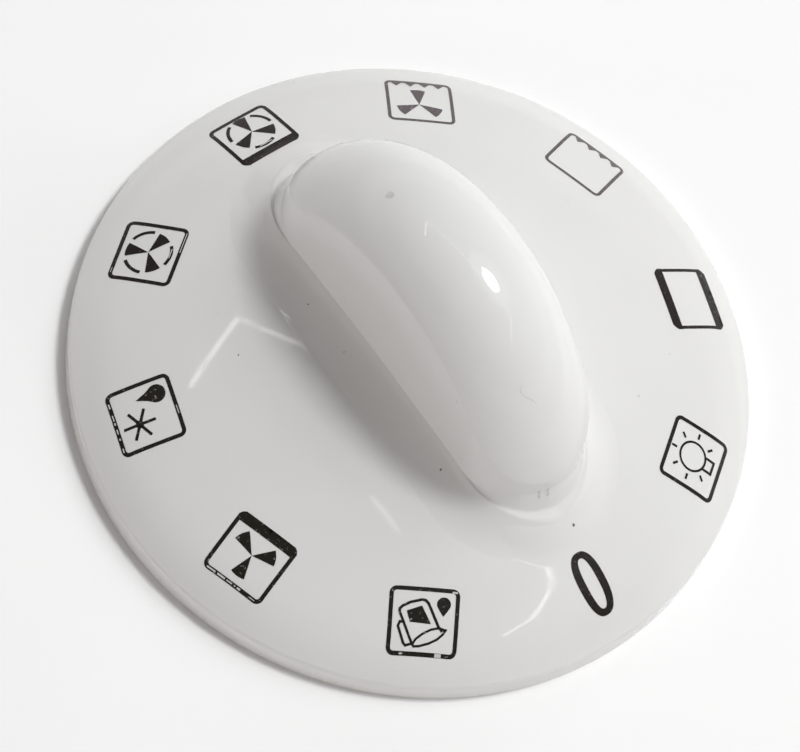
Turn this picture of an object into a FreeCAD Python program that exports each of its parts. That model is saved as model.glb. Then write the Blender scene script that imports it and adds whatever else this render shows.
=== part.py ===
import FreeCAD, Part
import math
import os
import Sketcher

# Oven control knob: a domed skirt with a raised half-moon grip, hollow underneath,
# with a boss and a sprung D socket for the switch shaft.
# Origin at the centre of the rim's underside, +Z up through the grip, grip along Y.

SIZES = {
    # skirt: its dome would pass a little over the rim's top, and a rounded edge takes it down to it
    "skirt_radius": 30.0,
    "rim_height": 2.05,
    "dome_height": 10.35,
    "dome_edge_drop": 0.835,
    "skirt_edge_radius": 13.0,
    "rim_corner_radius": 0.5,
    "skirt_wall": 2.2,
    "rim_wall": 2.0,
    # raised collar round the foot of the grip: its rise over the dome, its oval at one level and
    # how far its side runs out for each mm down
    "collar_rise": 1.25,
    "collar_level": 8.5,
    "collar_half_length": 19.8,
    "collar_half_width": 10.0,
    "collar_flank_swell": 2.1,
    "collar_side_run": 1.11,
    "collar_lip_radius": 1.6,
    "collar_foot_blend": 4.6,
    # grip walls: how far inside the crown's arch they end and how wide they are, low down and at the crest
    "grip_low_end_inset": 0.12,
    "grip_low_half_width": 6.25,
    "grip_low_flank_swell": 0.3,
    "grip_high_end_inset": 2.3,
    "grip_high_half_width": 6.2,
    "grip_high_flank_swell": 0.3,
    # crown over the grip: an arch with a rounded section
    "crest_height": 26.35,
    "crown_arch_radius": 18.5,
    "crown_section_radius": 7.0,
    "crown_edge_radius": 0.6,
    # hollow inside the grip
    "grip_wall": 2.2,
    "crown_wall": 2.6,
    # boss and ribs
    "boss_radius": 5.4,
    "boss_recess": 1.5,
    "rib_thickness": 1.5,
    "rib_recess": 2.6,
    "rib_count": 4,
    # socket for a round shaft with a flat
    "guide_radius": 3.25,
    "guide_length": 5.0,
    "socket_radius": 3.05,
    "socket_flat": 1.6,
    "socket_length": 10.5,
    # leaf spring in its pocket behind the flat
    "spring_thickness": 0.35,
    "spring_width": 2.6,
    "spring_length": 8.0,
    "spring_bow": 0.95,
    "spring_preload": 0.1,
    "spring_clearance": 0.06,
    "spring_side_clearance": 0.1,
    "spring_end_clearance": 0.2,
    "spring_ledge": 0.8,
    # how far a cutting solid runs past the face that it opens
    "cut_margin": 2.0,
}

FULL_TURN = 360.0
# Two lengths in mm that differ by less are the same
SAME = 1e-6

doc = FreeCAD.newDocument("OvenKnob")
sheet = doc.addObject("Spreadsheet::Sheet", "Sizes")
for row, (alias, value) in enumerate(SIZES.items(), start=1):
    sheet.set("A%d" % row, alias)
    sheet.set("B%d" % row, str(value))
    sheet.setAlias("B%d" % row, alias)
doc.recompute()


def size(alias):
    """A driving dimension as the sheet holds it."""
    return float(sheet.get(alias))


def total(*aliases):
    """A sum of sizes, those with a minus taken off, as an expression and as a number."""
    terms = []
    value = 0.0
    for alias in aliases:
        name = alias.lstrip("-")
        sign = -1.0 if alias.startswith("-") else 1.0
        terms.append("%s Sizes.%s" % ("-" if sign < 0 else "+", name))
        value += sign * size(name)
    return "(0 %s)" % " ".join(terms), value


# Radius of the dome, through its top and the point over the rim
DOME_RISE = total("dome_height", "-rim_height", "-dome_edge_drop")
DOME_RADIUS = (
    "((Sizes.skirt_radius^2 + %s^2) / (2 * %s))" % (DOME_RISE[0], DOME_RISE[0]),
    (size("skirt_radius") ** 2 + DOME_RISE[1] ** 2) / (2 * DOME_RISE[1]),
)

# Level of the axis that the crown's arch is turned about
ARCH_AXIS = total("crest_height", "-crown_arch_radius")


def new_body(name):
    return doc.addObject("PartDesign::Body", name)


def new_sketch(body, name, plane_role):
    """A sketch on one of its body's origin planes."""
    sketch = body.newObject("Sketcher::SketchObject", name)
    plane = [item for item in body.Origin.OriginFeatures if item.Role == plane_role][0]
    sketch.AttachmentSupport = [(plane, "")]
    sketch.MapMode = "FlatFace"
    return sketch


def constrain(sketch, *arguments):
    return sketch.addConstraint(Sketcher.Constraint(*arguments))


def dimension(sketch, expression, *arguments):
    """A driving constraint bound to the sheet."""
    index = constrain(sketch, *arguments)
    sketch.setExpression("Constraints[%d]" % index, expression)


def join_loop(sketch, count):
    """Close a chain of edges, each end on the next start."""
    for index in range(count):
        constrain(sketch, "Coincident", index, 2, (index + 1) % count, 1)


def line(start, end):
    return Part.LineSegment(FreeCAD.Vector(*start, 0), FreeCAD.Vector(*end, 0))


def arc(centre, radius, start, end):
    """An arc that runs anticlockwise from one angle to the other, in radians."""
    circle = Part.Circle(FreeCAD.Vector(*centre, 0), FreeCAD.Vector(0, 0, 1), radius)
    return Part.ArcOfCircle(circle, start, end)


def boolean(kind, name, base, tool):
    """A Cut, Fuse or Common of two objects."""
    result = doc.addObject("Part::" + kind, name)
    result.Base = base
    result.Tool = tool
    return result


def revolve(body, sketch, axis):
    feature = body.newObject("PartDesign::Revolution", body.Name + "Turn")
    feature.Profile = sketch
    feature.ReferenceAxis = (sketch, [axis])
    feature.Angle = FULL_TURN
    doc.recompute()
    return feature


def pad(body, sketch, expression):
    feature = body.newObject("PartDesign::Pad", sketch.Name + "Pad")
    feature.Profile = sketch
    feature.setExpression("Length", expression)
    return feature


def round_edges(name, base, radius_alias, wanted):
    """Round the edges of an object whose two faces pass the test."""
    doc.recompute()
    shape = base.Shape
    radius = size(radius_alias)
    chosen = []
    for index, edge in enumerate(shape.Edges, start=1):
        faces = shape.ancestorsOfType(edge, Part.Face)
        if len(faces) == 2 and (wanted(faces[0], faces[1]) or wanted(faces[1], faces[0])):
            chosen.append((index, radius, radius))
    result = doc.addObject("Part::Fillet", name)
    result.Base = base
    result.Edges = chosen
    return result


def is_sphere(face):
    return isinstance(face.Surface, Part.Sphere)


def is_ring(face):
    return isinstance(face.Surface, Part.Toroid)


# Outer skirt: rim wall, rounded edge and dome, turned about Z
def make_skirt():
    body = new_body("Skirt")
    sketch = new_sketch(body, "SkirtProfile", "XZ_Plane")
    radius = size("skirt_radius")
    rim = size("rim_height")
    top = size("dome_height")
    dome = DOME_RADIUS[1]
    edge = size("skirt_edge_radius")
    centre = top - dome
    # centre of the edge arc: a dome's radius less its own from the dome's centre, its own from the rim's top
    span = math.hypot(radius, rim - centre)
    bearing = math.atan2(rim - centre, radius)
    inner = dome - edge
    swing = math.acos((inner ** 2 + span ** 2 - edge ** 2) / (2 * inner * span))
    meet = bearing + swing
    edge_centre = (inner * math.cos(meet), centre + inner * math.sin(meet))
    low = math.atan2(rim - edge_centre[1], radius - edge_centre[0])
    sketch.addGeometry(line((0, 0), (radius, 0)))
    sketch.addGeometry(line((radius, 0), (radius, rim)))
    sketch.addGeometry(arc(edge_centre, edge, low, meet))
    sketch.addGeometry(arc((0, centre), dome, meet, math.pi / 2))
    sketch.addGeometry(line((0, top), (0, 0)))
    constrain(sketch, "Coincident", 0, 2, 1, 1)
    constrain(sketch, "Coincident", 1, 2, 2, 1)
    constrain(sketch, "Tangent", 2, 2, 3, 1)
    constrain(sketch, "Coincident", 3, 2, 4, 1)
    constrain(sketch, "Coincident", 4, 2, 0, 1)
    constrain(sketch, "Coincident", 0, 1, -1, 1)
    constrain(sketch, "Horizontal", 0)
    constrain(sketch, "Vertical", 1)
    constrain(sketch, "Vertical", 4)
    constrain(sketch, "PointOnObject", 3, 3, -2)
    dimension(sketch, "Sizes.skirt_radius", "DistanceX", 0, 1, 0, 2, radius)
    dimension(sketch, "Sizes.rim_height", "DistanceY", 1, 1, 1, 2, rim)
    dimension(sketch, DOME_RADIUS[0], "Radius", 3, dome)
    dimension(sketch, "Sizes.dome_height", "DistanceY", 4, 2, 4, 1, top)
    dimension(sketch, "Sizes.skirt_edge_radius", "Radius", 2, edge)
    turned = revolve(body, sketch, "V_Axis")
    corner = body.newObject("PartDesign::Fillet", "RimCorner")
    names = []
    for index, item in enumerate(turned.Shape.Edges, start=1):
        box = item.BoundBox
        if abs(box.ZMin - rim) < SAME and abs(box.ZMax - rim) < SAME:
            names.append("Edge%d" % index)
    corner.Base = (turned, names)
    corner.setExpression("Radius", "Sizes.rim_corner_radius")
    return body


def oval_sketch(body, name, height, length, width, swell):
    """An oval along Y: two wide flanks and two tangent ends. Each size is an expression and its value."""
    sketch = new_sketch(body, name, "XY_Plane")
    sketch.setExpression("AttachmentOffset.Base.z", height[0])
    end_text = "(%s - %s)" % (width[0], swell[0])
    reach_text = "(%s - %s)" % (length[0], end_text)
    flank_text = "(%s^2 + %s^2 - %s^2) / (2 * %s)" % (reach_text, width[0], end_text, swell[0])
    end = width[1] - swell[1]
    reach = length[1] - end
    flank = (reach ** 2 + width[1] ** 2 - end ** 2) / (2 * swell[1])
    aside = flank - width[1]
    meet = math.atan2(reach, aside)
    sketch.addGeometry(arc((-aside, 0), flank, -meet, meet))
    sketch.addGeometry(arc((0, reach), end, meet, math.pi - meet))
    sketch.addGeometry(arc((aside, 0), flank, math.pi - meet, math.pi + meet))
    sketch.addGeometry(arc((0, -reach), end, math.pi + meet, 2 * math.pi - meet))
    for index in range(4):
        constrain(sketch, "Tangent", index, 2, (index + 1) % 4, 1)
    constrain(sketch, "Equal", 0, 2)
    constrain(sketch, "Equal", 1, 3)
    constrain(sketch, "PointOnObject", 0, 3, -1)
    constrain(sketch, "PointOnObject", 1, 3, -2)
    constrain(sketch, "PointOnObject", 3, 3, -2)
    dimension(sketch, end_text, "Radius", 1, end)
    dimension(sketch, flank_text, "Radius", 0, flank)
    dimension(sketch, reach_text, "DistanceY", -1, 1, 1, 3, reach)
    return sketch


def oval_loft(name, lower, upper):
    """A straight-sided solid between two ovals."""
    body = new_body(name)
    low = oval_sketch(body, name + "Low", *lower)
    high = oval_sketch(body, name + "High", *upper)
    loft = body.newObject("PartDesign::AdditiveLoft", name + "Walls")
    loft.Profile = low
    loft.Sections = [high]
    loft.Ruled = True
    return body


def make_crown(name, width, section):
    """The arch over the grip: a barrel turned about a level axis, its round section drawn at the bottom."""
    body = new_body(name)
    sketch = new_sketch(body, name + "Section", "XZ_Plane")
    sketch.setExpression("AttachmentOffset.Base.y", ARCH_AXIS[0])
    middle = total("crown_arch_radius", "-crown_section_radius")
    angle = math.acos(width[1] / section[1])
    shoulder = -middle[1] - section[1] * math.sin(angle)
    sketch.addGeometry(line((width[1], 0), (-width[1], 0)))
    sketch.addGeometry(line((-width[1], 0), (-width[1], shoulder)))
    sketch.addGeometry(arc((0, -middle[1]), section[1], math.pi + angle, 2 * math.pi - angle))
    sketch.addGeometry(line((width[1], shoulder), (width[1], 0)))
    join_loop(sketch, 4)
    constrain(sketch, "Horizontal", 0)
    constrain(sketch, "Vertical", 1)
    constrain(sketch, "Vertical", 3)
    constrain(sketch, "Symmetric", 0, 1, 0, 2, -1, 1)
    constrain(sketch, "PointOnObject", 2, 3, -2)
    dimension(sketch, "2 * " + width[0], "DistanceX", 0, 2, 0, 1, 2 * width[1])
    dimension(sketch, section[0], "Radius", 2, section[1])
    dimension(sketch, middle[0], "DistanceY", 2, 3, -1, 1, middle[1])
    revolve(body, sketch, "H_Axis")
    return body


def arched_oval(name, start, walls_off, crown_off):
    """The grip's solid, or the space in it: oval walls under the arched crown, on a straight root.

    The two lists are the thicknesses taken off the walls and off the crown.
    """
    low_oval = (
        total("crown_arch_radius", "-grip_low_end_inset", *crown_off),
        total("grip_low_half_width", *walls_off),
        total("grip_low_flank_swell"),
    )
    high_oval = (
        total("crown_arch_radius", "-grip_high_end_inset", *crown_off),
        total("grip_high_half_width", *walls_off),
        total("grip_high_flank_swell"),
    )
    walls = oval_loft(name, (ARCH_AXIS,) + low_oval, (total("crest_height", "cut_margin"),) + high_oval)
    section = total("crown_section_radius", *crown_off)
    width = ("((%s + %s) / 2)" % (low_oval[1][0], section[0]), (low_oval[1][1] + section[1]) / 2)
    upper = boolean("Common", name + "Arched", walls, make_crown(name + "Crown", width, section))
    root = new_body(name + "Root")
    plan = oval_sketch(root, name + "RootPlan", start, *low_oval)
    pad(root, plan, "%s - %s" % (ARCH_AXIS[0], start[0]))
    return upper, root


# Raised collar: an oval with sloping sides, topped by a second dome over the skirt's
def make_collar():
    levels = []
    for height in (total("rim_height"), total("dome_height", "collar_rise", "cut_margin")):
        spread = (
            "(Sizes.collar_level - %s) * Sizes.collar_side_run" % height[0],
            (size("collar_level") - height[1]) * size("collar_side_run"),
        )
        length = ("(Sizes.collar_half_length + %s)" % spread[0], size("collar_half_length") + spread[1])
        width = ("(Sizes.collar_half_width + %s)" % spread[0], size("collar_half_width") + spread[1])
        levels.append((height, length, width, total("collar_flank_swell")))
    walls = oval_loft("Collar", *levels)
    top = doc.addObject("Part::Sphere", "CollarDome")
    top.setExpression("Radius", DOME_RADIUS[0] + " + Sizes.collar_rise")
    top.setExpression("Placement.Base.z", "Sizes.dome_height - " + DOME_RADIUS[0])
    collar = boolean("Common", "CollarBlank", walls, top)
    return round_edges(
        "CollarLip", collar, "collar_lip_radius", lambda one, other: is_sphere(one) and not is_sphere(other)
    )


# Grip: near-upright oval walls under the crown, with the edge between them softened
def make_grip():
    upper, root = arched_oval("Grip", total("rim_height"), [], [])
    softened = round_edges(
        "GripEdge", upper, "crown_edge_radius", lambda one, other: is_ring(one) and not is_ring(other)
    )
    return boolean("Fuse", "GripSolid", softened, root)


# Outside of the knob in one piece, with the collar blended into the skirt
def make_outside():
    foot = boolean("Fuse", "SkirtAndCollar", make_skirt(), make_collar())
    blended = round_edges(
        "CollarFoot",
        foot,
        "collar_foot_blend",
        lambda one, other: is_sphere(one)
        and abs(one.Surface.Radius - DOME_RADIUS[1]) < SAME
        and not is_sphere(other)
        and not is_ring(other),
    )
    return boolean("Fuse", "Outside", blended, make_grip())


# Space under the skirt: inside the rim and under the dome
def make_skirt_hollow():
    body = new_body("SkirtHollow")
    sketch = new_sketch(body, "SkirtHollowProfile", "XZ_Plane")
    radius = size("skirt_radius") - size("rim_wall")
    dome = DOME_RADIUS[1] - size("skirt_wall")
    top = size("dome_height") - size("skirt_wall")
    margin = size("cut_margin")
    centre = top - dome
    side = centre + math.sqrt(dome ** 2 - radius ** 2)
    sketch.addGeometry(line((0, -margin), (radius, -margin)))
    sketch.addGeometry(line((radius, -margin), (radius, side)))
    sketch.addGeometry(arc((0, centre), dome, math.atan2(side - centre, radius), math.pi / 2))
    sketch.addGeometry(line((0, top), (0, -margin)))
    join_loop(sketch, 4)
    constrain(sketch, "Horizontal", 0)
    constrain(sketch, "Vertical", 1)
    constrain(sketch, "Vertical", 3)
    constrain(sketch, "PointOnObject", 0, 1, -2)
    constrain(sketch, "PointOnObject", 2, 3, -2)
    dimension(sketch, "Sizes.skirt_radius - Sizes.rim_wall", "DistanceX", 0, 1, 0, 2, radius)
    dimension(sketch, DOME_RADIUS[0] + " - Sizes.skirt_wall", "Radius", 2, dome)
    dimension(sketch, "Sizes.dome_height - Sizes.skirt_wall", "DistanceY", -1, 1, 3, 1, top)
    dimension(sketch, "Sizes.cut_margin", "DistanceY", 0, 1, -1, 1, margin)
    revolve(body, sketch, "V_Axis")
    return body


# Space inside the grip: its walls and crown, each a wall's thickness in
def make_grip_hollow():
    upper, root = arched_oval("GripSpace", total("boss_recess"), ["-grip_wall"], ["-crown_wall"])
    return boolean("Fuse", "GripHollow", upper, root)


# Shaft boss, up from its recess into the crown
def make_boss():
    boss = doc.addObject("Part::Cylinder", "Boss")
    boss.setExpression("Radius", "Sizes.boss_radius")
    boss.setExpression("Height", "Sizes.crest_height - Sizes.boss_recess")
    boss.setExpression("Placement.Base.z", "Sizes.boss_recess")
    return boss


# Ribs from the boss to the rim, set between the grip's ends and flanks
def make_ribs():
    body = new_body("Ribs")
    sketch = new_sketch(body, "RibPlan", "XY_Plane")
    sketch.setExpression("AttachmentOffset.Base.z", "Sizes.rib_recess")
    reach = size("skirt_radius")
    half = size("rib_thickness") / 2
    corners = ((0, -half), (reach, -half), (reach, half), (0, half))
    for index, start in enumerate(corners):
        sketch.addGeometry(line(start, corners[(index + 1) % 4]))
    join_loop(sketch, 4)
    constrain(sketch, "Horizontal", 0)
    constrain(sketch, "Vertical", 1)
    constrain(sketch, "Horizontal", 2)
    constrain(sketch, "Symmetric", 0, 1, 2, 2, -1, 1)
    dimension(sketch, "Sizes.skirt_radius", "DistanceX", 0, 1, 0, 2, reach)
    dimension(sketch, "Sizes.rib_thickness", "DistanceY", 1, 1, 1, 2, 2 * half)
    rib = pad(body, sketch, "Sizes.dome_height")
    pattern = body.newObject("PartDesign::PolarPattern", "RibPattern")
    pattern.Originals = [rib]
    pattern.Axis = (sketch, ["N_Axis"])
    pattern.Angle = FULL_TURN
    pattern.setExpression("Occurrences", "Sizes.rib_count")
    body.Tip = pattern
    half_step = FULL_TURN / size("rib_count") / 2
    body.Placement = FreeCAD.Placement(FreeCAD.Vector(), FreeCAD.Rotation(FreeCAD.Vector(0, 0, 1), half_step))
    return body


# Level at which the D socket starts, and the one at which the spring's pocket starts
GUIDE_END = "Sizes.boss_recess + Sizes.guide_length"
POCKET_START = GUIDE_END + " + Sizes.spring_ledge"
POCKET_BACK = (
    "Sizes.socket_flat - Sizes.spring_preload + Sizes.spring_bow"
    " + Sizes.spring_thickness + Sizes.spring_clearance"
)


# Shaft socket: a round guide at the mouth, a D section above it and the pocket behind the flat
def make_socket():
    body = new_body("Socket")
    guide = new_sketch(body, "Guide", "XY_Plane")
    guide.setExpression("AttachmentOffset.Base.z", "Sizes.boss_recess - Sizes.cut_margin")
    guide.addGeometry(Part.Circle(FreeCAD.Vector(), FreeCAD.Vector(0, 0, 1), size("guide_radius")))
    constrain(guide, "Coincident", 0, 3, -1, 1)
    dimension(guide, "Sizes.guide_radius", "Radius", 0, size("guide_radius"))
    pad(body, guide, "Sizes.guide_length + Sizes.cut_margin")

    section = new_sketch(body, "SocketSection", "XY_Plane")
    section.setExpression("AttachmentOffset.Base.z", GUIDE_END)
    radius = size("socket_radius")
    flat = size("socket_flat")
    lift = math.asin(flat / radius)
    half = radius * math.cos(lift)
    section.addGeometry(arc((0, 0), radius, math.pi - lift, 2 * math.pi + lift))
    section.addGeometry(line((half, flat), (-half, flat)))
    join_loop(section, 2)
    constrain(section, "Coincident", 0, 3, -1, 1)
    constrain(section, "Horizontal", 1)
    dimension(section, "Sizes.socket_radius", "Radius", 0, radius)
    dimension(section, "Sizes.socket_flat", "DistanceY", -1, 1, 1, 1, flat)
    pad(body, section, "Sizes.socket_length")

    pocket = new_sketch(body, "SpringPocket", "XY_Plane")
    pocket.setExpression("AttachmentOffset.Base.z", POCKET_START)
    back = (
        flat - size("spring_preload") + size("spring_bow") + size("spring_thickness") + size("spring_clearance")
    )
    aside = size("spring_width") / 2 + size("spring_side_clearance")
    corners = ((-aside, 0), (aside, 0), (aside, back), (-aside, back))
    for index, start in enumerate(corners):
        pocket.addGeometry(line(start, corners[(index + 1) % 4]))
    join_loop(pocket, 4)
    constrain(pocket, "Vertical", 1)
    constrain(pocket, "Horizontal", 2)
    constrain(pocket, "Vertical", 3)
    constrain(pocket, "Symmetric", 0, 1, 0, 2, -1, 1)
    dimension(pocket, "Sizes.spring_width + 2 * Sizes.spring_side_clearance", "DistanceX", 0, 1, 0, 2, 2 * aside)
    dimension(pocket, POCKET_BACK, "DistanceY", 1, 1, 1, 2, back)
    pad(body, pocket, "Sizes.spring_length + 2 * Sizes.spring_end_clearance")
    return body


# The moulding: the outside less its hollow, with boss and ribs left standing, and the socket cut in
def make_knob_body():
    outside = make_outside()
    hollow = boolean("Fuse", "Hollow", make_skirt_hollow(), make_grip_hollow())
    inside = boolean("Fuse", "BossAndRibs", make_boss(), make_ribs())
    core = boolean("Cut", "Core", hollow, inside)
    shell = boolean("Cut", "Shell", outside, core)
    knob = boolean("Cut", "KnobBody", shell, make_socket())
    knob.Label = "knob_body"
    return knob


# Leaf spring: a bowed strip with its belly a little past the socket's flat
def make_spring():
    body = new_body("ShaftSpring")
    body.Label = "shaft_spring"
    sketch = new_sketch(body, "SpringProfile", "YZ_Plane")
    half = size("spring_length") / 2
    bow = size("spring_bow")
    thick = size("spring_thickness")
    belly = size("socket_flat") - size("spring_preload")
    middle = (
        size("boss_recess") + size("guide_length") + size("spring_ledge") + size("spring_end_clearance") + half
    )
    bend = (half ** 2 + bow ** 2) / (2 * bow)
    angle = math.asin(half / bend)
    centre = (belly + bend, middle)
    inner = bend - thick
    ends = []
    for radius in (bend, inner):
        across = centre[0] - radius * math.cos(angle)
        ends.append(((across, middle + radius * math.sin(angle)), (across, middle - radius * math.sin(angle))))
    sketch.addGeometry(arc(centre, bend, math.pi - angle, math.pi + angle))
    sketch.addGeometry(line(ends[0][1], ends[1][1]))
    sketch.addGeometry(arc(centre, inner, math.pi - angle, math.pi + angle))
    sketch.addGeometry(line(ends[1][0], ends[0][0]))
    constrain(sketch, "Coincident", 0, 2, 1, 1)
    constrain(sketch, "Coincident", 1, 2, 2, 2)
    constrain(sketch, "Coincident", 2, 1, 3, 1)
    constrain(sketch, "Coincident", 3, 2, 0, 1)
    constrain(sketch, "Coincident", 0, 3, 2, 3)
    constrain(sketch, "PointOnObject", 0, 3, 1)
    constrain(sketch, "PointOnObject", 0, 3, 3)
    bend_text = "(Sizes.spring_length^2 / 4 + Sizes.spring_bow^2) / (2 * Sizes.spring_bow)"
    dimension(sketch, bend_text, "Radius", 0, bend)
    dimension(sketch, bend_text + " - Sizes.spring_thickness", "Radius", 2, inner)
    belly_text = "Sizes.socket_flat - Sizes.spring_preload"
    dimension(sketch, belly_text + " + " + bend_text, "DistanceX", -1, 1, 0, 3, centre[0])
    middle_text = POCKET_START + " + Sizes.spring_end_clearance + Sizes.spring_length / 2"
    dimension(sketch, middle_text, "DistanceY", -1, 1, 0, 3, middle)
    dimension(sketch, "Sizes.spring_length / 2", "DistanceY", 0, 3, 0, 1, half)
    dimension(sketch, "Sizes.spring_length / 2", "DistanceY", 0, 2, 0, 3, half)
    strip = pad(body, sketch, "Sizes.spring_width")
    strip.Midplane = True
    return body


parts = [make_knob_body(), make_spring()]
doc.recompute()

for item in doc.Objects:
    if "Invalid" in item.State or "Error" in item.State:
        raise RuntimeError("%s did not compute: %s" % (item.Name, item.State))
for part in parts:
    if part.Shape.isNull() or not part.Shape.isValid():
        raise RuntimeError("%s has no valid shape" % part.Label)

os.makedirs("parts", exist_ok=True)
for part in parts:
    part.Shape.exportStep(os.path.join("parts", part.Label + ".step"))
    print(part.Label, "solids", len(part.Shape.Solids), "volume", round(part.Shape.Volume, 1), "mm3")
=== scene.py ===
import math

import bmesh
import bpy
from mathutils import Euler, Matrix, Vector
from mathutils.bvhtree import BVHTree
from mathutils.interpolate import poly_3d_calc


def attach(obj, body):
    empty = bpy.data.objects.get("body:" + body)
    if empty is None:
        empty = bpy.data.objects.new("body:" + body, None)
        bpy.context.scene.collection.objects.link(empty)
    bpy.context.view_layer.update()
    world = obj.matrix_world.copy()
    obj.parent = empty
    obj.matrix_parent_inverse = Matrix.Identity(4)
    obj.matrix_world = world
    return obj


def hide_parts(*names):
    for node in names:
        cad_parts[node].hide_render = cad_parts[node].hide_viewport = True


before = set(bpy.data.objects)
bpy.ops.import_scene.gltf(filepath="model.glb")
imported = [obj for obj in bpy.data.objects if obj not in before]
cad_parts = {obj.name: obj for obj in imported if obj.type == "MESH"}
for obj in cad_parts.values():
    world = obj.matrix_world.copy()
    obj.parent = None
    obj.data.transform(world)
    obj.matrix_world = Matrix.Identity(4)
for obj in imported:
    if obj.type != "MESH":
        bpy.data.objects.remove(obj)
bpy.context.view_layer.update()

MM = 0.001
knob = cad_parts["knob_body"]
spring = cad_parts["shaft_spring"]


# Materials


def new_material(name):
    """A material made of nodes, with its node tree and its shader."""
    material = bpy.data.materials.new(name)
    material.use_nodes = True
    tree = material.node_tree
    return material, tree, tree.nodes["Principled BSDF"]


def noise(tree, scale, detail, roughness, stretch=None, turn=(0.0, 0.0, 0.0)):
    """Noise in the object's own coordinates, scale in waves per metre, stretched and turned if asked."""
    source = tree.nodes.new("ShaderNodeTexCoord").outputs["Object"]
    if stretch:
        mapping = tree.nodes.new("ShaderNodeMapping")
        mapping.inputs["Scale"].default_value = stretch
        mapping.inputs["Rotation"].default_value = turn
        tree.links.new(source, mapping.inputs["Vector"])
        source = mapping.outputs["Vector"]
    node = tree.nodes.new("ShaderNodeTexNoise")
    node.inputs["Scale"].default_value = scale
    node.inputs["Detail"].default_value = detail
    node.inputs["Roughness"].default_value = roughness
    tree.links.new(source, node.inputs["Vector"])
    return node.outputs["Fac"]


def remap(tree, value, given, wanted):
    """A value moved from the given range to the wanted one."""
    node = tree.nodes.new("ShaderNodeMapRange")
    node.inputs["From Min"].default_value = given[0]
    node.inputs["From Max"].default_value = given[1]
    node.inputs["To Min"].default_value = wanted[0]
    node.inputs["To Max"].default_value = wanted[1]
    tree.links.new(value, node.inputs["Value"])
    return node.outputs["Result"]


def mix_colours(tree, factor, first, second):
    """A mix of two colours, each a plain one or another node's."""
    node = tree.nodes.new("ShaderNodeMix")
    node.data_type = "RGBA"
    tree.links.new(factor, node.inputs["Factor"])
    for socket, colour in (("A", first), ("B", second)):
        target = [item for item in node.inputs if item.name == socket and item.type == "RGBA"][0]
        if isinstance(colour, bpy.types.NodeSocket):
            tree.links.new(colour, target)
        else:
            target.default_value = (*colour, 1.0)
    return [item for item in node.outputs if item.type == "RGBA"][0]


def bump(tree, shader, height, strength, distance):
    node = tree.nodes.new("ShaderNodeBump")
    node.inputs["Strength"].default_value = strength
    node.inputs["Distance"].default_value = distance
    tree.links.new(height, node.inputs["Height"])
    tree.links.new(node.outputs["Normal"], shader.inputs["Normal"])


WHOLE = (0.0, 1.0)
PLASTIC_WHITE = (0.761, 0.757, 0.746)
PLASTIC_WARM = (0.74, 0.733, 0.719)
PLASTIC_ROUGHNESS = (0.05, 0.14)
PLASTIC_IOR = 1.5
DIRT = (0.3, 0.28, 0.25)
DIRT_SHARE = (0.0, 0.3)
STEEL_DARK = (0.5, 0.5, 0.52)
STEEL_LIGHT = (0.68, 0.68, 0.7)
STEEL_ROUGHNESS = (0.25, 0.42)
INK_ROUGHNESS = (0.12, 0.3)
WEAR_SPAN = 0.1


def plastic_material():
    """Glossy white moulded plastic with a faint unevenness, fine scuffs and a few specks of dirt."""
    material, tree, shader = new_material("white_plastic")
    tone = remap(tree, noise(tree, scale=60.0, detail=3.0, roughness=0.5), (0.35, 0.65), WHOLE)
    plain = mix_colours(tree, tone, PLASTIC_WHITE, PLASTIC_WARM)
    grit = remap(tree, noise(tree, scale=900.0, detail=2.0, roughness=0.5), (0.76, 0.82), DIRT_SHARE)
    tree.links.new(mix_colours(tree, grit, plain, DIRT), shader.inputs["Base Color"])
    scuffs = noise(
        tree, scale=700.0, detail=4.0, roughness=0.6, stretch=(1.0, 0.08, 1.0), turn=(0.0, 0.0, 0.7)
    )
    tree.links.new(remap(tree, scuffs, (0.5, 0.8), PLASTIC_ROUGHNESS), shader.inputs["Roughness"])
    swell = noise(tree, scale=250.0, detail=2.0, roughness=0.5)
    bump(tree, shader, swell, strength=0.03, distance=0.0001)
    shader.inputs["IOR"].default_value = PLASTIC_IOR
    return material


def steel_material():
    """Rolled spring steel with lengthwise grain."""
    material, tree, shader = new_material("spring_steel")
    grain = noise(tree, scale=3000.0, detail=3.0, roughness=0.6, stretch=(1.0, 1.0, 0.03))
    spread = (0.3, 0.7)
    shade = remap(tree, grain, spread, WHOLE)
    tree.links.new(mix_colours(tree, shade, STEEL_DARK, STEEL_LIGHT), shader.inputs["Base Color"])
    tree.links.new(remap(tree, grain, spread, STEEL_ROUGHNESS), shader.inputs["Roughness"])
    shader.inputs["Metallic"].default_value = 1.0
    return material


def ink_material(name, dark, worn, threshold):
    """A thin coat with pinholes, where the noise is over the threshold and the worn colour shows."""
    material, tree, shader = new_material(name)
    holes = noise(tree, scale=3200.0, detail=3.0, roughness=0.6)
    wear = remap(tree, holes, (threshold, threshold + WEAR_SPAN), WHOLE)
    tree.links.new(mix_colours(tree, wear, dark, worn), shader.inputs["Base Color"])
    tree.links.new(remap(tree, holes, (0.3, 0.7), INK_ROUGHNESS), shader.inputs["Roughness"])
    return material


plastic = plastic_material()
steel = steel_material()
ink_strong = ink_material("ink_strong", dark=(0.02, 0.016, 0.013), worn=(0.2, 0.19, 0.17), threshold=0.66)
ink_worn = ink_material("ink_worn", dark=(0.016, 0.014, 0.01), worn=(0.3, 0.29, 0.27), threshold=0.63)
ink_grey = ink_material("ink_grey", dark=(0.12, 0.1, 0.11), worn=(0.26, 0.24, 0.25), threshold=0.6)
bare = ink_material("bare_plastic", dark=(0.6, 0.59, 0.57), worn=(0.35, 0.34, 0.32), threshold=0.6)
dirt = ink_material("dirt", dark=(0.14, 0.12, 0.1), worn=DIRT, threshold=0.5)
smudge = ink_material("smudge", dark=(0.6, 0.595, 0.59), worn=(0.69, 0.685, 0.68), threshold=0.5)

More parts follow.
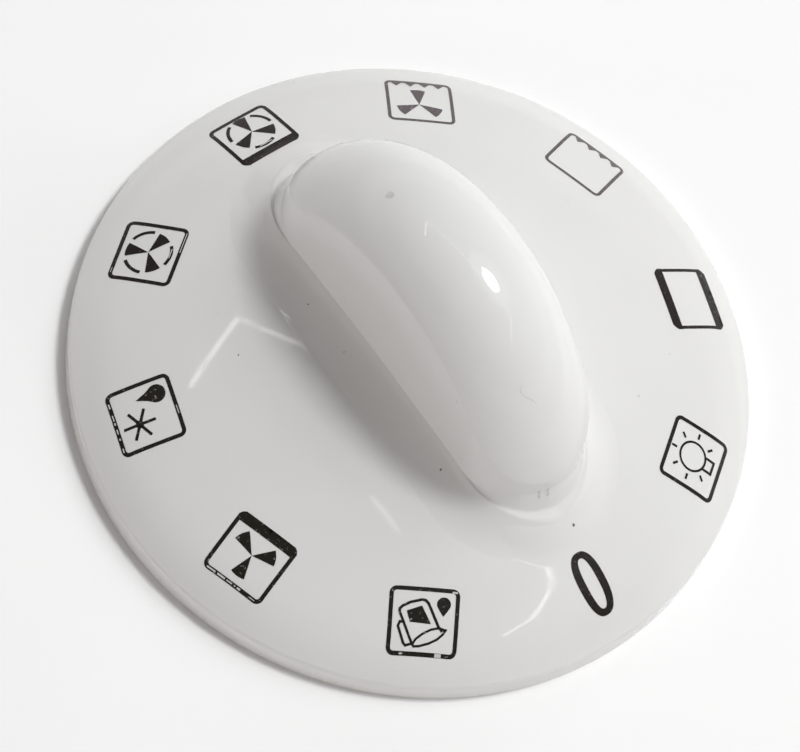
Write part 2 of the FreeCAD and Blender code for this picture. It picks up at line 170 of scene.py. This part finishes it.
spring.data.materials.clear()
spring.data.materials.append(steel)


# Flat shapes of the print, in mm, with up pointing away from the knob's centre

SPACING = 0.25
MITRE_LIMIT = 0.5
PATCH_SHARES = (1.0, 0.66, 0.33)


def walk(points, closed):
    """The same line with points no further apart than the spacing."""
    result = []
    pairs = list(zip(points, points[1:] + points[:1])) if closed else list(zip(points, points[1:]))
    for start, end in pairs:
        steps = max(1, math.ceil(math.dist(start, end) / SPACING))
        for step in range(steps):
            share = step / steps
            result.append((start[0] + (end[0] - start[0]) * share, start[1] + (end[1] - start[1]) * share))
    if not closed:
        result.append(points[-1])
    return result


def unit(x, y):
    length = math.hypot(x, y)
    return x / length, y / length


def stroke(points, width, closed=False):
    """A ribbon along a line, mitred at its corners."""
    line = walk(points, closed)
    count = len(line)
    vertices = []
    for index, (x, y) in enumerate(line):
        before = line[index - 1] if closed or index else None
        after = line[(index + 1) % count] if closed or index < count - 1 else None
        ways = []
        if before:
            ways.append(unit(x - before[0], y - before[1]))
        if after:
            ways.append(unit(after[0] - x, after[1] - y))
        way = unit(sum(item[0] for item in ways), sum(item[1] for item in ways))
        mitre = max(MITRE_LIMIT, way[0] * ways[0][0] + way[1] * ways[0][1])
        reach = width / 2 / mitre
        vertices.append((x - way[1] * reach, y + way[0] * reach))
        vertices.append((x + way[1] * reach, y - way[0] * reach))
    faces = []
    for index in range(count if closed else count - 1):
        follow = (index + 1) % count
        faces.append((2 * index, 2 * index + 1, 2 * follow + 1, 2 * follow))
    return vertices, faces


def ring(outer, inner):
    """The band between two closed outlines with as many points each."""
    count = len(outer)
    faces = [
        (index, (index + 1) % count, count + (index + 1) % count, count + index) for index in range(count)
    ]
    return outer + inner, faces


def patch(points):
    """A filled outline, in rings about its middle."""
    outline = walk(points, True)
    count = len(outline)
    middle = (sum(x for x, y in outline) / count, sum(y for x, y in outline) / count)
    vertices = []
    for share in PATCH_SHARES:
        for x, y in outline:
            vertices.append((middle[0] + (x - middle[0]) * share, middle[1] + (y - middle[1]) * share))
    faces = []
    last = (len(PATCH_SHARES) - 1) * count
    for here in range(0, last, count):
        there = here + count
        for index in range(count):
            follow = (index + 1) % count
            faces.append((here + index, here + follow, there + follow, there + index))
    vertices.append(middle)
    for index in range(count):
        faces.append((last + index, last + (index + 1) % count, len(vertices) - 1))
    return vertices, faces


def arc_points(centre, radius, start, end, count=24):
    """Points round an arc, angles in degrees."""
    result = []
    for index in range(count + 1):
        angle = math.radians(start + (end - start) * index / count)
        result.append((centre[0] + radius * math.cos(angle), centre[1] + radius * math.sin(angle)))
    return result


def circle_points(centre, radius, count=48):
    return arc_points(centre, radius, 0, 360, count)[:-1]


def rounded_box(half_width, half_height, corner):
    """The outline of a box with rounded corners."""
    points = []
    wide = half_width - corner
    high = half_height - corner
    for x, y, start in ((wide, high, 0), (-wide, high, 90), (-wide, -high, 180), (wide, -high, 270)):
        points += arc_points((x, y), corner, start, start + 90, count=6)
    return points


BOX_HALF_WIDTH = 2.85
BOX_HALF_HEIGHT = 2.73
BOX_CORNER = 0.45
LINE = 0.36
THIN_LINE = 0.3
BAR = 0.95
FAN_REACH = 2.08


def box_frame(width=LINE):
    return stroke(rounded_box(BOX_HALF_WIDTH, BOX_HALF_HEIGHT, BOX_CORNER), width, True)


def bar(side):
    """A thick bar along the box's outer (1) or inner (-1) side."""
    outer = BOX_HALF_HEIGHT + LINE / 2
    half = BOX_HALF_WIDTH + LINE / 2
    points = [
        (-half, side * (outer - BAR)),
        (half, side * (outer - BAR)),
        (half, side * (outer - BOX_CORNER)),
        (half - BOX_CORNER, side * outer),
        (BOX_CORNER - half, side * outer),
        (-half, side * (outer - BOX_CORNER)),
    ]
    return patch(points)


def fan(centre):
    """Three wedge blades that meet in the middle."""
    shapes = []
    half_angle = 19.0
    for angle in (90, 210, 330):
        points = [centre]
        points += arc_points(centre, FAN_REACH, angle - half_angle, angle + half_angle, count=8)
        shapes.append(patch(points))
    return shapes


def fan_ring(centre):
    """Three arcs between the blades' tips."""
    half_angle = 28
    shapes = []
    for middle in (30, 150, 270):
        points = arc_points(centre, FAN_REACH, middle - half_angle, middle + half_angle)
        shapes.append(stroke(points, THIN_LINE))
    return shapes


def teeth(first):
    """Four heating teeth along the box's outer side."""
    step = 1.255
    base = BOX_HALF_HEIGHT
    tip = 2.08
    half = 0.6
    shapes = []
    for index in range(4):
        x = first + step * index
        shapes.append(patch([(x - half, base), (x, tip), (x + half, base)]))
    return shapes


def drop(centre, radius, tip):
    """A drop with its point upward."""
    shoulder_out = radius * 0.45
    shoulder_up = radius * 1.15
    points = arc_points(centre, radius, start=155, end=385)
    points += [
        (centre[0] + shoulder_out, centre[1] + shoulder_up),
        (centre[0], tip),
        (centre[0] - shoulder_out, centre[1] + shoulder_up),
    ]
    return patch(points)


def oval(centre, half_width, half_height, power, count=64):
    """A squarish oval."""
    points = []
    for index in range(count):
        angle = 2 * math.pi * index / count
        c = math.cos(angle)
        s = math.sin(angle)
        x = centre[0] + half_width * math.copysign(abs(c) ** (2 / power), c)
        y = centre[1] + half_height * math.copysign(abs(s) ** (2 / power), s)
        points.append((x, y))
    return points


def symbol_off():
    centre = (0.11, 0.0)
    power = 2.5
    outer = oval(centre, half_width=1.33, half_height=2.94, power=power)
    inner = oval(centre, half_width=0.6, half_height=2.35, power=power)
    return [ring(outer, inner)]


def symbol_light():
    """A bulb with its cap outward, and seven rays."""
    bulb = (-0.06, -0.16)
    bulb_radius = 1.32
    ray_start = 1.74
    ray_end = 2.3
    cap = [(-0.62, 1.12), (-0.62, 2.0), (0.5, 2.0), (0.5, 1.12)]
    shapes = [
        box_frame(),
        stroke(circle_points(bulb, bulb_radius), width=0.21, closed=True),
        stroke(cap, width=0.24),
    ]
    for angle in (-90, -45, 0, 45, 135, 180, 225):
        way = (math.cos(math.radians(angle)), math.sin(math.radians(angle)))
        near = (bulb[0] + way[0] * ray_start, bulb[1] + way[1] * ray_start)
        far = (bulb[0] + way[0] * ray_end, bulb[1] + way[1] * ray_end)
        shapes.append(stroke([near, far], width=0.22))
    return shapes


def symbol_top_bottom_heat():
    return [box_frame(THIN_LINE), bar(1), bar(-1)]


def symbol_grill():
    return [box_frame(THIN_LINE)] + teeth(first=-1.9)


def symbol_grill_fan():
    return [box_frame(THIN_LINE)] + teeth(first=-1.95) + fan(centre=(-0.1, -0.48))


def symbol_ring_fan_bar():
    centre = (0.06, 0.45)
    return [box_frame(), bar(-1)] + fan(centre) + fan_ring(centre)


def symbol_ring_fan():
    centre = (0.06, 0.07)
    return [box_frame()] + fan(centre) + fan_ring(centre)


def symbol_defrost():
    """A star of three strokes with a thick middle, and a drop."""
    star = (-0.66, 0.75)
    arm = 1.44
    middle = patch(circle_points(star, radius=0.36, count=16))
    shapes = [box_frame(), middle, drop(centre=(1.5, -1.4), radius=0.83, tip=0.5)]
    for angle in (90, 30, -30):
        way = (arm * math.cos(math.radians(angle)), arm * math.sin(math.radians(angle)))
        ends = [(star[0] - way[0], star[1] - way[1]), (star[0] + way[0], star[1] + way[1])]
        shapes.append(stroke(ends, width=0.26))
    return shapes


def symbol_fan_bar():
    return [box_frame(), bar(-1)] + fan(centre=(0.0, -0.1))


def symbol_jug():
    """A jug with its mouth outward, half full, and a drop."""
    mouth = [
        (-1.95, 0.62),
        (-1.72, 1.0),
        (-1.25, 1.45),
        (-0.55, 1.82),
        (0.25, 2.08),
        (0.7, 2.12),
        (0.82, 1.95),
        (0.55, 1.5),
        (0.0, 1.05),
        (-0.7, 0.65),
        (-1.3, 0.5),
    ]
    side = [(-1.35, 0.45), (-0.75, -0.75), (-0.35, -1.55), (-0.1, -1.78), (0.2, -1.84)]
    base = [(0.2, -1.84), (1.2, -1.55), (1.85, -1.2), (2.08, -0.95), (2.08, -0.7)]
    back = [(2.08, -0.7), (1.75, 0.0), (1.35, 0.9), (0.85, 1.95)]
    handle = [(0.85, 1.9), (1.4, 2.08), (1.6, 1.9), (2.15, 0.5), (2.0, 0.12), (1.72, 0.15)]
    liquid = [(-0.66, 0.2), (1.15, 0.12), (1.48, -0.82), (0.2, -1.32)]
    spout = [(-2.05, 0.58), (-1.55, 0.85), (-1.2, 0.3)]
    shapes = [stroke(mouth, width=0.2, closed=True), stroke(handle, width=0.22), patch(liquid)]
    shapes += [stroke(side, width=0.24), stroke(base, width=0.24), stroke(back, width=0.22)]
    shapes += [patch(spout), drop(centre=(-1.67, -1.55), radius=0.6, tip=-0.5), box_frame()]
    return shapes


def new_object(name, data):
    """An object of the scene with the mesh, light or camera that it is given."""
    piece = bpy.data.objects.new(name, data)
    bpy.context.scene.collection.objects.link(piece)
    return piece


def add_piece(name, vertices, faces, finish):
    """A thin mesh that rides on the knob, with its points in metres."""
    mesh = bpy.data.meshes.new(name)
    mesh.from_pydata(vertices, [], faces)
    mesh.materials.append(finish)
    mesh.shade_smooth()
    piece = new_object(name, mesh)
    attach(piece, "root")


# The knob's moulding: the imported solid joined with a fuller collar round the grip, in mm. The collar sweeps
# down from the grip's flanks, has a lip at the ends, and climbs the end walls, which gives them more slope.

DOME_HEIGHT = 10.35
DOME_RADIUS = 64.01
COLLAR_HALF_LENGTH = 18.8
COLLAR_HALF_WIDTH = 6.25
COLLAR_SWELL = 0.3

# Distances out and up from the collar's top edge, from high on the wall down to the edge
WALL_CLIMB = ((-1.15, 3.0), (-0.66, 1.6), (-0.2, 0.3), (-0.13, 0.1), (-0.07, 0.03))
FLANK_SWEEP = {"start": -0.05, "rise": 2.0, "lip": 0.0, "lip_radius": 0.05, "foot_radius": 5.9}
END_SWEEP = {"start": 0.1, "rise": 1.35, "lip": 0.7, "lip_radius": 0.7, "foot_radius": 3.4}
ARC_STATIONS = 48
LIP_ROWS = 10
FOOT_ROWS = 40

# How far the collar's foot lies under the dome, and where its hidden root is
SEAT = 0.02
ROOT_DEPTH = -0.6
ROOT_INSET = -1.5


def collar_stations():
    """Centre, radius and angle of points round the grip's oval, arc by arc."""
    end = COLLAR_HALF_WIDTH - COLLAR_SWELL
    reach = COLLAR_HALF_LENGTH - end
    flank = (reach ** 2 + COLLAR_HALF_WIDTH ** 2 - end ** 2) / (2 * COLLAR_SWELL)
    aside = flank - COLLAR_HALF_WIDTH
    meet = math.atan2(reach, aside)
    arcs = (
        ((-aside, 0), flank, -meet, meet),
        ((0, reach), end, meet, math.pi - meet),
        ((aside, 0), flank, math.pi - meet, math.pi + meet),
        ((0, -reach), end, math.pi + meet, 2 * math.pi - meet),
    )
    for centre, radius, start, stop in arcs:
        for step in range(ARC_STATIONS):
            yield centre, radius, start + (stop - start) * step / ARC_STATIONS


def collar_profile(share):
    """Distances out from the grip and heights over the dome, from the ends (0) to the flanks (1)."""
    sweep = {key: END_SWEEP[key] + (FLANK_SWEEP[key] - END_SWEEP[key]) * share for key in END_SWEEP}
    lip = sweep["lip_radius"]
    foot = sweep["foot_radius"]
    turn = math.acos(1 - sweep["rise"] / (lip + foot))
    edge = sweep["start"] + sweep["lip"]
    points = [(sweep["start"] + out, sweep["rise"] + climb) for out, climb in WALL_CLIMB]
    points.append((sweep["start"], sweep["rise"]))
    for step in range(LIP_ROWS + 1):
        angle = turn * step / LIP_ROWS
        points.append((edge + lip * math.sin(angle), sweep["rise"] - lip * (1 - math.cos(angle))))
    foot_end = edge + (lip + foot) * math.sin(turn)
    for step in range(1, FOOT_ROWS + 1):
        angle = turn * (1 - step / FOOT_ROWS)
        points.append((foot_end - foot * math.sin(angle), foot * (1 - math.cos(angle))))
    points.append((foot_end, ROOT_DEPTH))
    points.append((ROOT_INSET, ROOT_DEPTH))
    return points


def collar_ring():
    """The collar as a closed ring, with its root inside the knob's walls."""
    stations = list(collar_stations())
    vertices = []
    for centre, radius, angle in stations:
        for out, rise in collar_profile(abs(math.cos(angle))):
            x = centre[0] + (radius + out) * math.cos(angle)
            y = centre[1] + (radius + out) * math.sin(angle)
            dome = DOME_HEIGHT - DOME_RADIUS + math.sqrt(DOME_RADIUS ** 2 - x ** 2 - y ** 2)
            vertices.append(Vector((x, y, dome + rise - SEAT)) * MM)
    rows = len(vertices) // len(stations)
    faces = []
    for index in range(len(stations)):
        here = index * rows
        there = (index + 1) % len(stations) * rows
        for row in range(rows):
            follow = (row + 1) % rows
            faces.append((here + row, here + follow, there + follow, there + row))
    return vertices, faces


# Edges turn sharp over this angle. Points this near, in metres, are one point, or lie on the solid.
SHARP = math.radians(30)
SAME_PLACE = 1e-7
ON_SOLID = 1e-6

# Cosines between normals that count as one way, or as near enough
SAME_WAY = 0.99
FAIR_WAY = 0.97

# Height over the dome, in mm, in which the dome's normal gives way to the collar's
FOOT_EASE = 0.15


def surface_tree(mesh):
    """A search tree of a mesh's faces."""
    points = [vertex.co for vertex in mesh.vertices]
    return BVHTree.FromPolygons(points, [tuple(face.vertices) for face in mesh.polygons])


def welded_knob():
    """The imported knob's mesh with its points joined, so that it is closed."""
    weld = bmesh.new()
    weld.from_mesh(knob.data)
    bmesh.ops.remove_doubles(weld, verts=weld.verts, dist=SAME_PLACE)
    weld.verts.index_update()
    vertices = [vertex.co.copy() for vertex in weld.verts]
    faces = [[vertex.index for vertex in face.verts] for face in weld.faces]
    weld.free()
    mesh = bpy.data.meshes.new("welded_knob")
    mesh.from_pydata(vertices, [], faces)
    return mesh


def joined_mesh():
    """The welded knob and the collar's ring as one mesh."""
    ring_mesh = bpy.data.meshes.new("collar_ring")
    ring_vertices, ring_faces = collar_ring()
    ring_mesh.from_pydata(ring_vertices, [], ring_faces)
    ring_piece = new_object("collar_ring", ring_mesh)
    body = new_object("welded_knob", welded_knob())
    union = body.modifiers.new("union", "BOOLEAN")
    union.operation = "UNION"
    union.solver = "EXACT"
    union.object = ring_piece
    graph = bpy.context.evaluated_depsgraph_get()
    mesh = bpy.data.meshes.new_from_object(body.evaluated_get(graph))
    mesh.shade_smooth()
    mesh.set_sharp_from_angle(angle=SHARP)
    bpy.data.objects.remove(body)
    bpy.data.objects.remove(ring_piece)
    return mesh


def solid_normal(solid, face, point):
    """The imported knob's normals at a point on it, added up over its faces that turn the same way."""
    total = Vector((0, 0, 0))
    for place, way, index, _ in solid.find_nearest_range(point, ON_SOLID):
        if way.dot(face.normal) > SAME_WAY:
            source = knob.data.polygons[index]
            corners = [knob.data.vertices[vertex].co for vertex in source.vertices]
            for weight, corner in zip(poly_3d_calc(corners, place), source.loop_indices):
                total += knob.data.corner_normals[corner].vector * weight
    return total


def eased_normal(mesh, corner, face, point):
    """A corner's own normal, or near the dome one that eases into the dome's."""
    centre = Vector((0, 0, DOME_HEIGHT - DOME_RADIUS)) * MM
    outward = (point - centre).normalized()
    share = ((point - centre).length / MM - DOME_RADIUS) / FOOT_EASE
    own = mesh.corner_normals[corner].vector.copy()
    if own.dot(face.normal) < FAIR_WAY:
        own = face.normal.copy()
    if abs(share) > 1 or face.normal.dot(outward) < SAME_WAY:
        return own
    return outward.lerp(own, max(share, 0.0)).normalized()


def keep_normals(mesh):
    """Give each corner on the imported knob's surface the normal that the knob has there."""
    solid = surface_tree(knob.data)
    normals = []
    for face in mesh.polygons:
        for corner in face.loop_indices:
            point = mesh.vertices[mesh.loops[corner].vertex_index].co
            normal = solid_normal(solid, face, point)
            normals.append(normal.normalized() if normal.length else eased_normal(mesh, corner, face, point))
    mesh.normals_split_custom_set(normals)


def make_moulding():
    """The knob and its collar as one piece, with the solid's own normals where it is unchanged."""
    mesh = joined_mesh()
    keep_normals(mesh)
    mesh.materials.clear()
    mesh.materials.append(plastic)
    piece = new_object("knob_moulding", mesh)
    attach(piece, "root")
    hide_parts("knob_body")
    return piece


moulding = make_moulding()
skin = surface_tree(moulding.data)


# The print on the skirt: each symbol a step further round from the off mark, sizes in mm, angles in degrees

RING_RADIUS = 25.09
SLOPE_SHARE = 0.92
PRINT_SHIFT = (0.14, -0.22)
INK_LIFT = 0.02
FLAKE_LIFT = 0.03
SYMBOL_STEP = 36.0
OFF_ANGLE = -90.0

# Where the rays that find the skin start, and the ways they go
CLEAR_OFF = 100.0
DOWN = (0, 0, -1)
INWARD = (0, 1, 0)


def on_skin(start, way, lift):
    """The first point of the knob's skin from a start in mm along a way, lifted a little, in metres."""
    hit, normal, _, _ = skin.ray_cast(Vector(start) * MM, Vector(way))
    return hit + normal * lift * MM


def lay(shapes, place, lift):
    """Flat shapes laid on the skin: each point is placed by its start and way, and then dropped."""
    vertices = []
    faces = []
    for points, cells in shapes:
        first = len(vertices)
        for across, up in points:
            start, way = place(across, up)
            vertices.append(on_skin(start, way, lift))
        faces += [tuple(first + index for index in cell) for cell in cells]
    return vertices, faces


def print_symbol(name, shapes, angle, finish, lift):
    """Print on the skirt at an angle round it, up being outward."""
    outward = (math.cos(math.radians(angle)), math.sin(math.radians(angle)))
    right = (outward[1], -outward[0])

    def place(across, up):
        radius = RING_RADIUS + up * SLOPE_SHARE
        x = PRINT_SHIFT[0] + radius * outward[0] + across * right[0]
        y = PRINT_SHIFT[1] + radius * outward[1] + across * right[1]
        return (x, y, CLEAR_OFF), DOWN

    add_piece(name, *lay(shapes, place, lift), finish)


# Flakes where the ink has come off its line: start and end across the symbol, height up it, and width

TOP = BOX_HALF_HEIGHT
WEAR = {
    "print_ring_fan_bar": ((-0.5, 0.8, -1.55, 0.09),),
    "print_ring_fan": ((0.5, 2.6, -TOP, 0.07), (-0.2, 0.75, -1.95, 0.09), (-2.4, -1.9, TOP, 0.06)),
    "print_defrost": (
        (-2.5, -2.1, TOP, 0.1),
        (-1.35, -1.15, TOP, 0.12),
        (-0.75, -0.3, TOP, 0.1),
        (0.1, 0.35, TOP, 0.12),
        (0.5, 1.05, TOP, 0.1),
        (1.7, 2.15, TOP, 0.12),
        (-0.95, -0.15, -TOP, 0.07),
    ),
    "print_fan_bar": (
        (-2.45, -1.9, TOP, 0.07),
        (-0.95, -0.6, TOP, 0.15),
        (-0.45, -0.3, TOP, 0.1),
        (-0.1, 0.5, TOP, 0.1),
        (0.65, 1.45, TOP, 0.15),
        (1.65, 2.55, TOP, 0.13),
    ),
    "print_jug": ((-1.7, -1.15, TOP, 0.3), (1.6, 1.9, TOP, 0.12), (-2.8, -2.35, -2.62, 0.16)),
}

SYMBOLS = (
    ("print_off", symbol_off, ink_strong),
    ("print_light", symbol_light, ink_strong),
    ("print_top_bottom_heat", symbol_top_bottom_heat, ink_strong),
    ("print_grill", symbol_grill, ink_grey),
    ("print_grill_fan", symbol_grill_fan, ink_grey),
    ("print_ring_fan_bar", symbol_ring_fan_bar, ink_strong),
    ("print_ring_fan", symbol_ring_fan, ink_strong),
    ("print_defrost", symbol_defrost, ink_worn),
    ("print_fan_bar", symbol_fan_bar, ink_worn),
    ("print_jug", symbol_jug, ink_worn),
)
for order, (name, draw, ink) in enumerate(SYMBOLS):
    angle = OFF_ANGLE + SYMBOL_STEP * order
    print_symbol(name, draw(), angle, ink, INK_LIFT)
    flakes = [stroke([(start, up), (end, up)], width) for start, end, up, width in WEAR.get(name, ())]
    if flakes:
        print_symbol(name + "_flakes", flakes, angle, bare, FLAKE_LIFT)


# Small marks of use, in mm: specks of dirt on the skirt and the collar, a grey dot and a hair on the crown,
# and two smudges on the end wall. Specks and the dot are given by place and radius.

SPECKS = ((0.76, -20.74, 0.12), (-14.84, 7.1, 0.07), (-7.7, 7.28, 0.07), (-7.05, -11.25, 0.09))
GREY_DOT = (-2.09, 7.37, 0.35)
HAIR = ((-1.75, -11.95), (-1.95, -12.0), (-2.05, -12.3), (-1.85, -12.7), (-1.45, -13.05), (-1.1, -13.5))
HAIR_WIDTH = 0.05
SMUDGES = ((-1.72, 11.2), (-0.9, 11.1))
SMUDGE_WIDTH = 0.25
SMUDGE_HEIGHT = 1.0


def from_above(x, y):
    return (x, y, CLEAR_OFF), DOWN


def from_front(x, z):
    return (x, -CLEAR_OFF, z), INWARD


specks = [patch(circle_points((x, y), radius, count=10)) for x, y, radius in SPECKS]
add_piece("dirt_specks", *lay(specks, from_above, INK_LIFT), dirt)
dot_x, dot_y, dot_radius = GREY_DOT
marks = [patch(circle_points((dot_x, dot_y), dot_radius, count=16)), stroke(list(HAIR), HAIR_WIDTH)]
add_piece("crown_marks", *lay(marks, from_above, INK_LIFT), smudge)
uprights = [
    stroke([(x, z - SMUDGE_HEIGHT / 2), (x, z + SMUDGE_HEIGHT / 2)], SMUDGE_WIDTH) for x, z in SMUDGES
]
add_piece("end_wall_smudges", *lay(uprights, from_front, INK_LIFT), smudge)


# Stage: pale floor, the studio's lights and the camera

FLOOR_HALF = 3.0
FLOOR_SHADES = ((0.955, 0.95, 0.952), (0.965, 0.96, 0.962))
FLOOR_ROUGHNESS = 0.9


def add_floor():
    """A square of pale paper under the knob."""
    mesh = bpy.data.meshes.new("floor")
    signs = ((-1, -1), (1, -1), (1, 1), (-1, 1))
    mesh.from_pydata([(x * FLOOR_HALF, y * FLOOR_HALF, 0) for x, y in signs], [], [(0, 1, 2, 3)])
    material, tree, shader = new_material("floor_paper")
    shade = remap(tree, noise(tree, scale=3.0, detail=2.0, roughness=0.5), (0.3, 0.7), WHOLE)
    tree.links.new(mix_colours(tree, shade, *FLOOR_SHADES), shader.inputs["Base Color"])
    shader.inputs["Roughness"].default_value = FLOOR_ROUGHNESS
    mesh.materials.append(material)
    floor = new_object("floor", mesh)


# A lamp in its reflector stands high on the right, and broad panels that no reflection shows fill in.
# Each has its bearing and height in degrees, its distance and size in metres, its power in watts,
# whether surfaces mirror it, and its colour.
CLEAR = (0.985, 1.0, 1.0)
ROSY = (1.0, 0.94, 0.92)
LAMPS = (
    ("lamp", -18.0, 68.0, 0.9, 0.2, 3.6, True, CLEAR),
    ("reflector", -18.0, 68.0, 0.95, 0.55, 0.8, True, CLEAR),
    ("back_panel", 45.0, 38.0, 0.9, 0.42, 0.8, False, CLEAR),
    ("front_panel", -45.0, 38.0, 0.9, 0.42, 1.0, False, CLEAR),
    ("right_panel", 0.0, 50.0, 0.9, 0.42, 1.4, False, CLEAR),
    ("left_panel", 180.0, 15.0, 0.9, 0.42, 1.03, False, ROSY),
    ("near_panel", -90.0, 15.0, 0.9, 0.42, 0.4, False, ROSY),
)


def add_lamp(name, bearing, height, distance, size, power, mirrored, colour):
    """A round area light that faces the knob."""
    light = bpy.data.lights.new(name, "AREA")
    light.shape = "DISK"
    light.size = size
    light.energy = power
    light.color = colour
    lamp = new_object(name, light)
    level = distance * math.cos(math.radians(height))
    lamp.location = (
        level * math.cos(math.radians(bearing)),
        level * math.sin(math.radians(bearing)),
        distance * math.sin(math.radians(height)),
    )
    lamp.rotation_mode = "QUATERNION"
    lamp.rotation_quaternion = (-lamp.location).to_track_quat("-Z", "Y")
    lamp.visible_glossy = mirrored


# Slits of light overhead, three of them round a panel, which the skirt mirrors as thin lines.
# Each has its start, end and width in metres and its power in watts.
SLIT_HEIGHT = 0.6
BACK_CORNER = (0.006, 0.417)
FRONT_CORNER = (0.235, -0.343)
SLITS = (
    ("back_slit", BACK_CORNER, (-0.155, 0.353), 0.012, 0.035),
    ("long_slit", BACK_CORNER, FRONT_CORNER, 0.007, 0.08),
    ("front_slit", FRONT_CORNER, (0.05, -0.477), 0.01, 0.045),
    ("near_slit", (-0.019, -0.033), (-0.012, -0.107), 0.008, 0.005),
)


def add_slit(name, start, end, width, power):
    """A thin strip of light that faces down, from one point to the other."""
    light = bpy.data.lights.new(name, "AREA")
    light.shape = "RECTANGLE"
    light.size = math.dist(start, end)
    light.size_y = width
    light.energy = power
    lamp = new_object(name, light)
    lamp.location = ((start[0] + end[0]) / 2, (start[1] + end[1]) / 2, SLIT_HEIGHT)
    lamp.rotation_euler = (0.0, 0.0, math.atan2(end[1] - start[1], end[0] - start[0]))


# The room: pale up to a height over the horizon, given by its sine, and dimmer above
ROOM_COLOUR = (1.0, 0.965, 0.95, 1.0)
ROOM_LEVELS = (0.57, 0.095)
HORIZON_END = (0.34, 0.42)


def add_world():
    world = bpy.data.worlds.new("studio")
    world.use_nodes = True
    tree = world.node_tree
    parts = tree.nodes.new("ShaderNodeSeparateXYZ")
    tree.links.new(tree.nodes.new("ShaderNodeTexCoord").outputs["Generated"], parts.inputs["Vector"])
    level = remap(tree, parts.outputs["Z"], HORIZON_END, ROOM_LEVELS)
    background = tree.nodes["Background"]
    background.inputs["Color"].default_value = ROOM_COLOUR
    tree.links.new(level, background.inputs["Strength"])
    bpy.context.scene.world = world


# The camera, placed in metres and turned in degrees as the photo was taken, with its focal length in pixels
CAMERA_PLACE = (-0.203024, -0.136329, 0.448079)
CAMERA_TURN = (26.8304, -10.4201, -36.2543)
SENSOR = 36.0
FOCAL_PIXELS = 5873.72
IMAGE_WIDTH = 800
CLIP_START = 0.01
CLIP_END = 20.0


def add_camera():
    data = bpy.data.cameras.new("camera")
    data.sensor_width = SENSOR
    data.lens = SENSOR * FOCAL_PIXELS / IMAGE_WIDTH
    data.clip_start = CLIP_START
    data.clip_end = CLIP_END
    camera = new_object("camera", data)
    camera.location = CAMERA_PLACE
    camera.rotation_euler = Euler([math.radians(angle) for angle in CAMERA_TURN], "XYZ")
    bpy.context.scene.camera = camera


add_floor()
for settings in LAMPS:
    add_lamp(*settings)
for settings in SLITS:
    add_slit(*settings)
add_world()
add_camera()
bpy.context.scene.view_settings.view_transform = "Standard"
